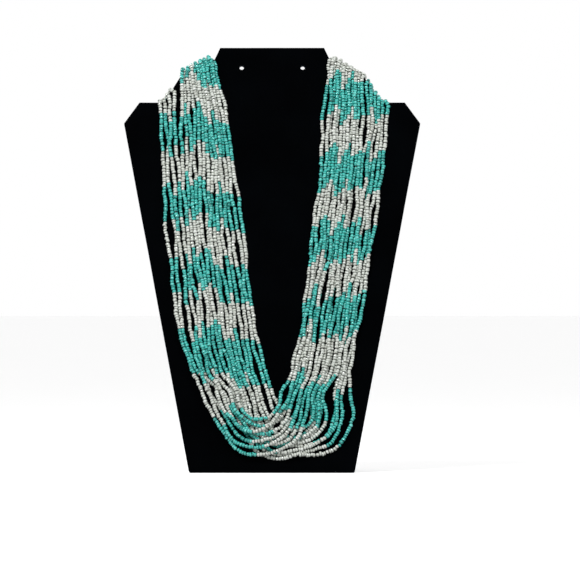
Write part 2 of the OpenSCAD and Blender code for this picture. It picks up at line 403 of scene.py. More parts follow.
@dataclass(frozen=True)
class SatinMetalFinish(Finish):
    """Silver coloured metal, brushed along its length."""

    name: str = "satin_silver"
    dull: Colour = (0.42, 0.41, 0.39)
    bright: Colour = (0.66, 0.65, 0.62)
    roughness: Span = (0.28, 0.42)
    # Features in a metre along and across the brushing
    stretch: tuple[float, float, float] = (60.0, 3000.0, 3000.0)
    relief: float = 0.01 * MM

    def dress(self, maker: MaterialMaker) -> None:
        """Dresses the material.

        Args:
            maker: the new material.
        """
        maker.set(metallic=1.0)
        place = maker.node("ShaderNodeTexCoord")
        drawn = maker.node("ShaderNodeMapping")
        drawn.inputs["Scale"].default_value = self.stretch
        lines = maker.node("ShaderNodeTexNoise")
        lines.inputs["Scale"].default_value = 1.0
        maker.link(place.outputs["Object"], drawn.inputs["Vector"])
        maker.link(drawn.outputs["Vector"], lines.inputs["Vector"])
        value = lines.outputs[0]
        maker.feed(
            base_color=maker.shades(value, self.dull, self.bright),
            roughness=maker.between(value, self.roughness),
        )
        maker.bump(value, self.relief)


@dataclass(frozen=True)
class FloorFinish(Finish):
    """Pale matte paint, brightened so that it meets the backdrop without a dark edge."""

    name: str = "pale_floor"
    light: Colour = (0.86, 0.86, 0.86)
    dark: Colour = (0.83, 0.83, 0.83)
    roughness: float = 0.8
    specular: float = 0.2
    own_light: float = 0.5
    mottle_scale: float = 6

    def dress(self, maker: MaterialMaker) -> None:
        """Dresses the material.

        Args:
            maker: the new material.
        """
        maker.set(roughness=self.roughness, specular_ior_level=self.specular)
        maker.set(emission_color=WHITE, emission_strength=self.own_light)
        maker.feed(base_color=maker.shades(maker.noise(self.mottle_scale), self.dark, self.light))


def add_piece(piece: bpy.types.Object, slot: str, *nodes: str) -> bpy.types.Object:
    """Links a new piece, lets it ride on the part and stand for its CAD nodes.

    Args:
        piece: the new object.
        slot: the record's material slot; not used.
        nodes: the CAD nodes that the piece stands for.

    Returns:
        The same object.
    """
    bpy.context.scene.collection.objects.link(piece)
    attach(piece, "root")
    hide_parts(*nodes)
    LOG.info("%s: %d faces, stands for %s", piece.name, len(piece.data.polygons), ", ".join(nodes))
    return piece


@dataclass(frozen=True)
class BoardPlane:
    """The board's front face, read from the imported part."""

    half_width: float
    height: float
    thickness: float
    lean: float

    @classmethod
    def from_frame(cls) -> "BoardPlane":
        """Reads the board's sizes from its box and its left earring hole.

        Returns:
            The board's plane.
        """
        low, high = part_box("display_board")
        mounts = {m["name"]: m for m in frame["record"]["mounts"]}
        hole = mounts["earring_hole_left"]
        lean = math.asin(hole["axis"][2])
        return cls(
            half_width=(high.x - low.x) / 2,
            height=high.z / math.cos(lean),
            thickness=hole["dims"]["length_mm"] * MM,
            lean=lean,
        )

    @property
    def front_foot(self) -> float:
        """Distance along Y of the front face's bottom edge."""
        return -self.thickness / (2 * math.cos(self.lean))

    def to_world(self, points: np.ndarray) -> np.ndarray:
        """Takes board points to the part's frame.

        Args:
            points: array of (across, up, out).

        Returns:
            Array of (x, y, z).
        """
        across, up, out = points.T
        sine, cosine = math.sin(self.lean), math.cos(self.lean)
        back = self.front_foot + up * sine - out * cosine
        return np.stack([across, back, up * cosine + out * sine], axis=1)


@dataclass
class CoveredSolid:
    """A piece made over a CAD solid: the same shape with softened edges and, if wanted, a soft relief."""

    node: str
    name: str
    slot: str
    finish: Finish
    edge_radius: float
    edge_steps: int = 3
    # Side of the cells that carry the relief, none if 0
    cell: float = 0.0
    # The relief is a noise times its height, raised so that little of it lies below the solid
    relief: float = 0.0
    relief_rise: float = 0.5
    relief_scale: float = 22.0
    merge_distance: float = 0.002 * MM
    flat_angle: float = math.radians(1)
    sharp_angle: float = math.radians(30)

    def build(self) -> bpy.types.Object:
        """Builds the piece.

        Returns:
            The finished piece.
        """
        mesh = self.softened()
        if self.cell > 0:
            self.divide(mesh)
        made = bpy.data.meshes.new(self.name)
        mesh.to_mesh(made)
        mesh.free()
        made.materials.append(self.finish.material())
        for face in made.polygons:
            face.use_smooth = True
        piece = bpy.data.objects.new(self.name, made)
        return add_piece(piece, self.slot, self.node)

    def softened(self) -> bmesh.types.BMesh:
        """Rounds the sharp edges of the solid.

        Returns:
            The solid's own shape with rounded edges.
        """
        mesh = bmesh.new()
        mesh.from_mesh(frame["nodes"][self.node].data)
        bmesh.ops.remove_doubles(mesh, verts=mesh.verts, dist=self.merge_distance)
        bmesh.ops.dissolve_limit(mesh, angle_limit=self.flat_angle, verts=mesh.verts, edges=mesh.edges)
        sharp = [e for e in mesh.edges if e.calc_face_angle(0.0) > self.sharp_angle]
        bmesh.ops.bevel(
            mesh, geom=sharp, offset=self.edge_radius, segments=self.edge_steps, profile=0.5,
            affect="EDGES", clamp_overlap=True,
        )
        return mesh

    def divide(self, mesh: bmesh.types.BMesh) -> None:
        """Cuts the faces into cells and gives them a soft relief, nearly all of it above the solid.

        Args:
            mesh: the shape that is changed.
        """
        low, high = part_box(self.node)
        for axis in (0, 2):
            steps = int((high[axis] - low[axis]) / self.cell)
            for step in range(1, steps):
                place, normal = Vector((0, 0, 0)), Vector((0, 0, 0))
                place[axis] = low[axis] + step * self.cell
                normal[axis] = 1.0
                everything = mesh.verts[:] + mesh.edges[:] + mesh.faces[:]
                bmesh.ops.bisect_plane(mesh, geom=everything, plane_co=place, plane_no=normal)
        bmesh.ops.triangulate(mesh, faces=mesh.faces)
        mesh.normal_update()
        shares = [self.relief_rise + noise.noise(v.co * self.relief_scale) for v in mesh.verts]
        moves = [v.normal * self.relief * share for v, share in zip(mesh.verts, shares)]
        for vertex, move in zip(mesh.verts, moves):
            if vertex.co.z > self.edge_radius:
                vertex.co += move


@dataclass(frozen=True)
class StringChart:
    """Where the eighteen strings lie, with lengths as shares of the board's sizes."""

    count: int = 18
    front_count: int = 8
    # Distance between two strings that lie side by side
    lane: float = 2.8 * MM
    # Gap between a string's end and the clasp
    seat_gap: float = 0.2 * MM
    clasp_length: float = 24 * MM
    # How far the clasp's middle lies below the board's top
    clasp_drop: float = 58 * MM
    # In the clasp's mouth: lanes from one row of strings to the next, and layers of strings
    mouth_spread: float = 1.04
    mouth_layers: int = 2
    # One step of the places in the tables, as a share of half the board's width
    place_share: float = 0.026
    # Sideways sway down the sides, in places
    sway: float = 0.18
    # The board's outline from the top edge outward and down: share of half the width, share of the height
    board_edge: Table = (
        (0.352, 1.000), (0.389, 0.9725), (0.620, 0.932), (0.732, 0.8695), (0.897, 0.8695), (1.000, 0.8200),
        (0.551, 0.0000),
    )
    # Share of the height, share of half the width at the outer string, cosine of the strings' lean,
    # then each string's place from the outer one; the first row crosses the board's edge
    left_rows: Table = (
        (0.000, 0.751, 1.00,
         -0.3, 0.9, 2.0, 3.0, 5.4, 6.0, 6.7, 7.4, 8.0, 8.7, 9.4, 10.0, 10.7, 11.3, 11.8, 12.4, 12.9, 13.4),
        (0.817, 0.749, 1.00,
         0, 1.1, 2.2, 3.6, 5.4, 6.4, 7.5, 8.7, 9.8, 10.6, 11.4, 12.1, 12.9, 13.7, 14.5, 15.3, 16.2, 17.3),
        (0.711, 0.732, 1.00,
         0, 1.3, 2.4, 3.7, 5.0, 6.1, 7.1, 8.2, 9.4, 10.6, 11.6, 12.7, 13.6, 14.4, 15.2, 16.0, 17.0, 18.2),
        (0.547, 0.706, 1.00,
         0, 2.1, 3.0, 4.5, 5.4, 6.5, 7.4, 8.2, 9.2, 10.6, 11.5, 12.3, 13.3, 14.5, 15.6, 17.0, 18.5, 19.8),
        (0.383, 0.638, 0.98,
         0, 0.8, 3.0, 4.2, 5.3, 6.3, 7.7, 8.7, 9.6, 10.8, 11.6, 12.4, 13.5, 14.7, 16.0, 17.3, 18.4, 19.3),
        (0.300, 0.605, 0.94,
         0, 1.3, 2.8, 3.9, 5.1, 6.1, 7.1, 8.1, 9.3, 10.5, 11.6, 12.5, 13.4, 14.5, 15.8, 17.1, 18.4, 19.5),
        (0.230, 0.521, 0.84,
         0, 0.8, 1.7, 2.9, 3.8, 4.8, 5.9, 7.1, 8.6, 9.5, 10.4, 11.3, 12.3, 13.2, 14.1, 15.2, 17.4, 18.7),
    )
    right_rows: Table = (
        (0.000, 0.779, 1.00,
         9.6, 10.4, 11.1, 11.9, 12.6, 13.3, 14.0, 14.6, 0, 1.3, 2.3, 3.3, 4.3, 5.3, 6.6, 7.3, 8.1, 8.8),
        (0.817, 0.773, 1.00,
         10.0, 10.9, 11.8, 12.6, 13.4, 14.3, 15.1, 16.7, 0, 1.2, 2.0, 2.9, 3.7, 4.5, 6.3, 7.4, 8.2, 9.1),
        (0.711, 0.742, 1.00,
         9.6, 10.5, 11.4, 12.2, 13.0, 13.9, 14.7, 15.8, 0, 1.2, 2.2, 3.2, 4.1, 5.0, 5.9, 7.1, 7.9, 8.8),
        (0.547, 0.675, 1.00,
         8.9, 9.7, 10.7, 11.6, 12.5, 13.4, 14.5, 15.5, 0, 1.1, 2.0, 2.9, 3.7, 4.5, 5.3, 6.8, 7.5, 8.2),
        (0.383, 0.598, 0.98,
         8.4, 9.3, 11.1, 11.7, 12.4, 13.0, 13.7, 14.5, 0, 0.9, 1.8, 2.6, 3.4, 4.2, 5.1, 5.9, 6.8, 7.6),
        (0.300, 0.557, 0.94,
         8.3, 9.2, 10.7, 11.5, 12.3, 13.0, 13.8, 14.7, 0, 0.8, 1.7, 2.5, 3.2, 4.0, 4.9, 5.7, 6.6, 7.4),
        (0.230, 0.517, 0.86,
         8.2, 9.2, 10.3, 11.1, 11.8, 12.8, 13.7, 14.7, 0, 0.8, 1.6, 2.4, 3.0, 3.8, 4.7, 5.5, 6.3, 7.2),
    )
    # Place of each string at the top of its way over the edge, where the strings bunch together
    left_crests: Row = (
        -0.3, 0.8, 1.75, 2.4, 5.9, 6.45, 7.0, 7.5, 8.05, 8.6, 9.1, 9.65, 10.2, 10.75, 11.25, 11.8,
        12.3, 12.7,
    )
    right_crests: Row = (
        9.4, 10.1, 10.9, 11.6, 12.3, 12.9, 13.6, 14.1, 0.6, 1.3, 2.2, 3.2, 4.2, 5.0, 6.3, 7.1, 7.8,
        8.6,
    )
    # Share by which the upper strings sink between the lower ones at the top
    crest_sinking: float = 0.25
    # How far below the edge a string has left its place at the top
    lean_fade: float = 12 * MM
    # Rings between each row and the one before it
    row_steps: tuple[int, ...] = (0, 1, 2, 2, 3, 2, 2)
    # Angle of the ray, radius of the inner and of the outer string, lift off the board in lanes
    front_fan: Table = (
        (180, 0.165, 0.388, 1.95), (200, 0.165, 0.352, 1.95), (220, 0.165, 0.345, 1.95),
        (238, 0.165, 0.384, 1.95), (254, 0.160, 0.415, 1.95), (270, 0.155, 0.425, 1.95),
        (286, 0.150, 0.415, 1.95), (302, 0.144, 0.392, 1.95), (320, 0.136, 0.350, 1.95),
        (340, 0.138, 0.315, 1.95), (360, 0.144, 0.310, 1.30),
    )
    back_fan: Table = (
        (180, 0.159, 0.412, 0), (200, 0.146, 0.407, 0), (220, 0.150, 0.421, 0), (238, 0.171, 0.454, 0),
        (254, 0.194, 0.430, 0), (270, 0.206, 0.402, 0), (286, 0.199, 0.408, 0), (302, 0.176, 0.432, 0),
        (320, 0.120, 0.421, 0), (340, 0.090, 0.389, 0), (360, 0.074, 0.355, 0),
    )
    # Middle of each fan: share of half the width, share of the height
    front_fan_middle: Row = (-0.068, 0.176)
    back_fan_middle: Row = (0.168, 0.171)
    # Places across a fan from its outer string, at its left and at its right end
    front_fan_places: Table = (
        (0, 4.7, 1.1, 2.0, 3.8, 5.8, 2.9, 7.0), (0, 1.2, 2.1, 3.0, 4.1, 5.0, 6.0, 7.0),
    )
    back_fan_places: Table = (
        (0, 1.0, 1.9, 2.8, 3.6, 4.4, 5.2, 6.1, 8.2, 9.0),
        (0, 2.1, 2.85, 3.6, 5.6, 6.3, 6.95, 7.65, 8.3, 9.0),
    )
    # Shares of the fan's half turn between which the strings change places
    fan_change: Span = (0.35, 0.65)
    # Cosine of the strings' lean in a fan, like that in the rows
    fan_slant: float = 0.95
    # Sideways sway in a fan, in lanes, and the share of its faster wave
    fan_sway: float = 0.3
    fan_fast_share: float = 0.5
    # Lift of the front sheet in the last rows above its fan, in lanes
    left_rise: Row = (0.3, 0.9)
    right_rise: Row = (0.1, 0.5)
    # Angles of a string's points from a face of the board to the top of its way over the edge, and on
    # its way behind the board
    wrap_turns: Row = (0, 45, 90)
    back_turns: Row = (30, 60, 90)


ROW_UP, ROW_OUT, ROW_SLANT = 0, 1, 2
FAN_ANGLE, FAN_INNER, FAN_OUTER, FAN_LIFT = 0, 1, 2, 3
# Degrees of a wave from one string to the next, and from one row or degree of a fan to the next
ROW_WAVE, FAN_SLOW_WAVE, FAN_FAST_WAVE = (137, 109), (137, 1.7), (211, 4.1)


def wave(kind: Span, number: np.ndarray | int, along: float) -> np.ndarray | float:
    """Value of a wave, from -1 to 1, for one or many strings at a row or an angle."""
    return np.sin(np.radians(kind[0] * number + kind[1] * along))


@dataclass
class StringRoutes:
    """Works out the route of each string from the chart and the board."""

    chart: StringChart
    plane: BoardPlane
    rows: dict[Side, np.ndarray] = field(default_factory=dict)
    # Height of each string at each row, for both sides and both fans
    heights: dict[Side | Table, dict[int, np.ndarray]] = field(default_factory=dict)

    def __post_init__(self) -> None:
        """Works out the rows of each side and the heights at which the strings lie."""
        for side, table in ((Side.LEFT, self.chart.left_rows), (Side.RIGHT, self.chart.right_rows)):
            self.rows[side] = self.swayed(self.all_rows(np.array(table, float)))
            self.heights[side] = self.settled(self.rows[side], self.laying_order, from_edge=True)
        for fan in (self.chart.front_fan, self.chart.back_fan):
            order = [i for i in self.laying_order if self.fan_of(i) is fan]
            self.heights[fan] = self.settled(self.fan_rows(fan), order, from_edge=False)

    @property
    def laying_order(self) -> list[int]:
        """The even strings, which lie on the board, and then the odd ones in the valleys between them."""
        count = self.chart.count
        return list(range(2, count + 1, 2)) + list(range(1, count + 1, 2))

    @property
    def place_step(self) -> float:
        """One step of the chart's places."""
        return self.chart.place_share * self.plane.half_width

    def in_front_sheet(self, number: int) -> bool:
        """Whether a string swings round in the front sheet."""
        return number <= self.chart.front_count

    def fan_of(self, number: int) -> Table:
        """Returns the rays of a string's fan."""
        return self.chart.front_fan if self.in_front_sheet(number) else self.chart.back_fan

    def all_rows(self, table: np.ndarray) -> np.ndarray:
        """Adds rows between the charted ones, on a curve through them.

        Args:
            table: the charted rows.

        Returns:
            All rows.
        """
        last = len(table) - 1
        rows = [table[0], table[1]]
        for k in range(1, last):
            a, b, c, d = table[max(k - 1, 1)], table[k], table[k + 1], table[min(k + 2, last)]
            steps = self.chart.row_steps[k + 1]
            for t in (m / steps for m in range(1, steps + 1)):
                bend = (2 * a - 5 * b + 4 * c - d) * t * t + (3 * b - a - 3 * c + d) * t**3
                rows.append(0.5 * (2 * b + (c - a) * t + bend))
        return np.array(rows)

    def swayed(self, rows: np.ndarray) -> np.ndarray:
        """Lets the strings stray a little sideways between the first and the last rows.

        Args:
            rows: all rows of a side.

        Returns:
            The same rows with other places.
        """
        numbers = np.arange(1, self.chart.count + 1)
        for q in range(2, len(rows) - 1):
            rows[q, ROW_SLANT + 1:] += self.chart.sway * wave(ROW_WAVE, numbers, q)
        return rows

    def settled(self, rows: np.ndarray, order: list[int], from_edge: bool) -> dict[int, np.ndarray]:
        """Lays the strings one after another, each on those that lie under it.

        Args:
            rows: all rows of a side or a fan.
            order: numbers of the strings, in the order in which they are laid.
            from_edge: whether the first row is the board's slanting edge, where a string passes a full
                lane over those under it.

        Returns:
            Height of each string at each row, in lanes.
        """
        laid: dict[int, np.ndarray] = {}
        for i in order:
            height = np.zeros(len(rows))
            for j, under in laid.items():
                apart = (rows[:, ROW_SLANT + i] - rows[:, ROW_SLANT + j]) * rows[:, ROW_SLANT]
                crossing = apart[:-1] * apart[1:] <= 0
                span = np.where(crossing, 0.0, np.minimum(abs(apart[:-1]), abs(apart[1:])))
                near = np.minimum(np.append(span, span[-1]), np.append(span[0], span))
                near = near * self.place_step / self.chart.lane
                step = np.sqrt(np.clip(1 - near**2, 0, None))
                step[0] = 1 if from_edge else step[0]
                rest = under + step
                height = np.where(near < 1, np.maximum(height, rest), height)
            laid[i] = height
        return laid

    def fan_radius(self, ray: Row, number: int) -> float:
        """Radius of a string on a ray of its fan.

        Args:
            ray: the ray's row in the chart.
            number: the string.

        Returns:
            Distance from the fan's middle.
        """
        front = self.in_front_sheet(number)
        places = self.chart.front_fan_places if front else self.chart.back_fan_places
        rank = number - (1 if front else self.chart.front_count + 1)
        angle = ray[FAN_ANGLE]
        turned = (angle - 180) / 180
        share = np.interp(turned, self.chart.fan_change, [side[rank] / side[-1] for side in places])
        slow, fast = wave(FAN_SLOW_WAVE, number, angle), wave(FAN_FAST_WAVE, number, angle)
        sway = self.chart.fan_sway * self.chart.lane * (slow + self.chart.fan_fast_share * fast)
        return self.plane.half_width * (ray[FAN_OUTER] + (ray[FAN_INNER] - ray[FAN_OUTER]) * share) + sway

    def fan_rows(self, fan: Table) -> np.ndarray:
        """Rows of a fan, with the radius of each of its strings as its place.

        Args:
            fan: the fan's rays in the chart.

        Returns:
            One row for each ray.
        """
        rows = np.full((len(fan), self.chart.count + ROW_SLANT + 1), self.chart.fan_slant)
        for i in (n for n in self.laying_order if self.fan_of(n) is fan):
            rows[:, ROW_SLANT + i] = [self.fan_radius(ray, i) / self.place_step for ray in fan]
        return rows

    def outline(self) -> np.ndarray:
        """Corners of the board's front face, in order."""
        half = np.array(self.chart.board_edge) * (self.plane.half_width, self.plane.height)
        return np.concatenate([half, (half * (-1, 1))[::-1]])

    def edge_at(self, across: float) -> tuple[float, float]:
        """Finds the board's slanting edge.

        Args:
            across: distance from the board's middle.

        Returns:
            Height of the edge there, and the cosine of its slope.
        """
        size = np.array([self.plane.half_width, self.plane.height])
        corners = [np.array(c) * size for c in self.chart.board_edge]
        part = max(k for k in range(len(corners) - 1) if k == 0 or across >= corners[k][0])
        start, run = corners[part], corners[part + 1] - corners[part]
        return start[1] + run[1] * (across - start[0]) / run[0], run[0] / np.linalg.norm(run)

    def side_points(self, number: int, side: Side) -> np.ndarray:
        """A string's points from the clasp, over the board's edge and down the front.

        Args:
            number: the string.
            side: the half of the board.

        Returns:
            Board points, from the clasp on.
        """
        chart, plane = self.chart, self.plane
        rows, heights = self.rows[side], self.heights[side][number]
        places = rows[:, ROW_OUT] * plane.half_width - rows[:, ROW_SLANT + number] * self.place_step
        rest = chart.lane / 2
        crossing = places[0]
        left = side is Side.LEFT
        crests = chart.left_crests if left else chart.right_crests
        lean = rows[0, ROW_OUT] * plane.half_width - crests[number - 1] * self.place_step - crossing
        edge_up = self.edge_at(crossing + lean)[0]
        radius = rest + heights[0] * chart.lane
        points = self.behind_points(number, left, crossing, edge_up)
        for turn in np.radians(chart.wrap_turns):
            points.append(self.over_edge(crossing + lean * (2 - math.sin(turn)), turn, radius, behind=True))
        for turn in np.radians(chart.wrap_turns[::-1]):
            points.append(self.over_edge(crossing + lean * math.sin(turn), turn, radius, behind=False))
        below = chart.lean_fade / (edge_up - rows[1, ROW_UP] * plane.height)
        out = rest + (heights[0] + (heights[1] - heights[0]) * below) * chart.lane
        points.append((crossing + (places[1] - crossing) * below, edge_up - chart.lean_fade, out))
        rise = np.zeros(len(rows))
        if self.in_front_sheet(number):
            rise[-2:] = chart.left_rise if left else chart.right_rise
        for q in range(1, len(rows)):
            out = rest + (heights[q] + rise[q]) * chart.lane
            points.append((places[q], rows[q, ROW_UP] * plane.height, out))
        return np.array(points) * (side.value, 1, 1)

    def behind_points(self, number: int, left: bool, crossing: float, edge_up: float) -> list[Point]:
        """A string's points behind the board, on a quarter of an oval from the clasp to the edge.

        Args:
            number: the string.
            left: whether it is the string's left half.
            crossing: distance across of its way over the edge.
            edge_up: height of the edge there.

        Returns:
            Board points, from the clasp on.
        """
        chart = self.chart
        rank = number - 1 if left else (number - 1 - chart.front_count) % chart.count
        last_row = chart.count / chart.mouth_layers - 1
        mouth = chart.clasp_length / 2 + chart.seat_gap
        step = chart.lane * chart.mouth_spread
        mouth_up = self.plane.height - chart.clasp_drop + (rank // chart.mouth_layers - last_row / 2) * step
        layer = chart.lane if number % chart.mouth_layers else 0
        behind = -self.plane.thickness - chart.lane / 2 - layer
        points = []
        for turn in np.radians(chart.back_turns[::-1]):
            across = mouth + (crossing - mouth) * math.cos(turn)
            points.append((across, mouth_up + (edge_up - mouth_up) * (1 - math.sin(turn)), behind))
        return points

    def over_edge(self, across: float, turn: float, radius: float, behind: bool) -> Point:
        """A point of a string's way over the board's edge.

        Args:
            across: distance from the board's middle.
            turn: how far round the edge, from 0 beside a face to a quarter turn above the edge.
            radius: distance from the edge.
            behind: whether the point is on the back face's side.

        Returns:
            The board point.
        """
        edge_up, slope = self.edge_at(across)
        sunk = radius * (1 - self.chart.crest_sinking * math.sin(turn) * (radius > self.chart.lane))
        out = radius * math.cos(turn)
        up = edge_up + sunk * math.sin(turn) / slope
        return across, up, -self.plane.thickness - out if behind else out

    def fan_points(self, number: int) -> np.ndarray:
        """A string's points round the bottom of the necklace.

        Args:
            number: the string.

        Returns:
            Board points, from the left side on.
        """
        chart, plane = self.chart, self.plane
        front = self.in_front_sheet(number)
        middle = chart.front_fan_middle if front else chart.back_fan_middle
        fan = self.fan_of(number)
        points = []
        for ray, height in zip(fan, self.heights[fan][number]):
            turn, radius = math.radians(ray[FAN_ANGLE]), self.fan_radius(ray, number)
            points.append((
                middle[0] * plane.half_width + radius * math.cos(turn),
                middle[1] * plane.height + radius * math.sin(turn),
                chart.lane / 2 + (height + ray[FAN_LIFT]) * chart.lane,
            ))
        return np.array(points)

    def route(self, number: int) -> np.ndarray:
        """A string's whole route, from the clasp's left mouth to its right one.

        Args:
            number: the string.

        Returns:
            Board points.
        """
        return np.concatenate([
            self.side_points(number, Side.LEFT),
            self.fan_points(number),
            self.side_points(number, Side.RIGHT)[::-1],
        ])


def unit(vectors: np.ndarray) -> np.ndarray:
    """Vectors of the same directions with length 1."""
    return vectors / np.maximum(np.linalg.norm(vectors, axis=1), TINY)[:, None]


def distances(points: np.ndarray) -> np.ndarray:
    """Distance of each point of a line from the line's start, along the line."""
    steps = np.linalg.norm(np.diff(points, axis=0), axis=1)
    return np.concatenate([[0.0], np.cumsum(steps)])


class Polyline:
    """A smooth line through points, read by the distance along it."""

    def __init__(self, points: np.ndarray, steps: int = 12) -> None:
        """Fits the line.

        Args:
            points: the points it passes through.
            steps: straight pieces between two points.
        """
        spans = np.linalg.norm(np.diff(points, axis=0), axis=1)[:, None]
        slopes = np.diff(points, axis=0) / spans
        inner = (slopes[:-1] * spans[1:] + slopes[1:] * spans[:-1]) / (spans[:-1] + spans[1:])
        heads = np.concatenate([slopes[:1], inner, slopes[-1:]])
        t = np.linspace(0, 1, steps, endpoint=False)[None, :, None]
        a, b = points[:-1, None], points[1:, None]
        ahead, behind = heads[:-1, None] * spans[:, None], heads[1:, None] * spans[:, None]
        curve = (
            (2 * t**3 - 3 * t**2 + 1) * a + (t**3 - 2 * t**2 + t) * ahead
            + (3 * t**2 - 2 * t**3) * b + (t**3 - t**2) * behind
        )
        self.points = np.concatenate([curve.reshape(-1, 3), points[-1:]])
        self.along = distances(self.points)

    @property
    def length(self) -> float:
        """Length of the line."""
        return float(self.along[-1])

    def at(self, distances: np.ndarray) -> np.ndarray:
        """Points at some distances from the start."""
        return np.stack([np.interp(distances, self.along, self.points[:, k]) for k in range(3)], axis=1)


@dataclass(frozen=True)
class Stray:
    """How a slack string wanders to its sides where it hangs in front of the board."""

    reach: float = 0.5 * MM
    waves: Row = (23 * MM, 37 * MM, 59 * MM, 97 * MM)
    # Length at each end over which the straying sets in
    fade: float = 20 * MM

    def wander(self, points: np.ndarray, first: int, last: int, rng: np.random.Generator) -> np.ndarray:
        """Moves the part of a string that hangs in front of the board.

        Args:
            points: the string's beads, in board points.
            first: the first bead that may stray.
            last: the last bead that may stray.
            rng: the source of chance.

        Returns:
            The beads' new places.
        """
        along = distances(points)
        aside = unit(np.cross(np.gradient(points, axis=0), (0.0, 0.0, 1.0)))
        waves = [np.sin(2 * math.pi * (along / w + rng.random())) for w in self.waves]
        shape = sum(waves) / math.sqrt(len(waves) / 2)
        ends = np.minimum(along - along[first], along[last] - along) / self.fade
        return points + aside * (self.reach * shape * np.clip(ends, 0, 1))[:, None]


class BoardSurface:
    """Finds how far a point is from the board, anywhere round it."""

    def __init__(self, outline: np.ndarray, thickness: float) -> None:
        """Keeps the board's outline.

        Args:
            outline: corners of the front face, in order, as (across, up).
            thickness: the board's thickness.
        """
        self.corners = outline
        self.runs = np.roll(outline, -1, axis=0) - outline
        self.thickness = thickness

    def beside(self, points: np.ndarray) -> tuple[np.ndarray, np.ndarray]:
        """Distance of points outside the outline, seen from the front, and the way out.

        Args:
            points: array of (across, up).

        Returns:
            Distances, negative over the board, and unit directions.
        """
        ahead = points[:, None] - self.corners[None]
        share = np.clip((ahead * self.runs).sum(-1) / (self.runs**2).sum(-1), 0, 1)
        away = ahead - share[..., None] * self.runs
        distance = np.linalg.norm(away, axis=-1)
        nearest = distance.argmin(axis=1)
        index = np.arange(len(points))
        a, b = self.corners, self.corners + self.runs
        level = (a[:, 1] > points[:, None, 1]) != (b[:, 1] > points[:, None, 1])
        rise = np.where(self.runs[:, 1] == 0, 1.0, self.runs[:, 1])
        crossing = a[:, 0] + self.runs[:, 0] * (points[:, None, 1] - a[:, 1]) / rise
        over = (level & (points[:, None, 0] < crossing)).sum(axis=1) % 2 == 1
        sign = np.where(over, -1.0, 1.0)
        gap = distance[index, nearest]
        way = away[index, nearest] * (sign / np.maximum(gap, TINY))[:, None]
        return gap * sign, way

    def clearance(self, points: np.ndarray) -> tuple[np.ndarray, np.ndarray]:
        """Distance of points from the board's surface, and the way out.

        Args:
            points: board points.

        Returns:
            Distances, negative inside the board, and unit directions.
        """
        aside, way = self.beside(points[:, :2])
        middle = points[:, 2] + self.thickness / 2
        depth = abs(middle) - self.thickness / 2
        flat = np.stack([way[:, 0], way[:, 1], np.zeros(len(points))], axis=1)
        out = np.stack([np.zeros(len(points)), np.zeros(len(points)), np.sign(middle)], axis=1)
        corner = (aside > 0) & (depth > 0)
        slant = np.hypot(aside, depth)
        mixed = (flat * aside[:, None] + out * depth[:, None]) / np.maximum(slant, TINY)[:, None]
        face = np.where((aside > depth)[:, None], flat, out)
        distance = np.where(corner, slant, np.maximum(aside, depth))
        return distance, np.where(corner[:, None], mixed, face)


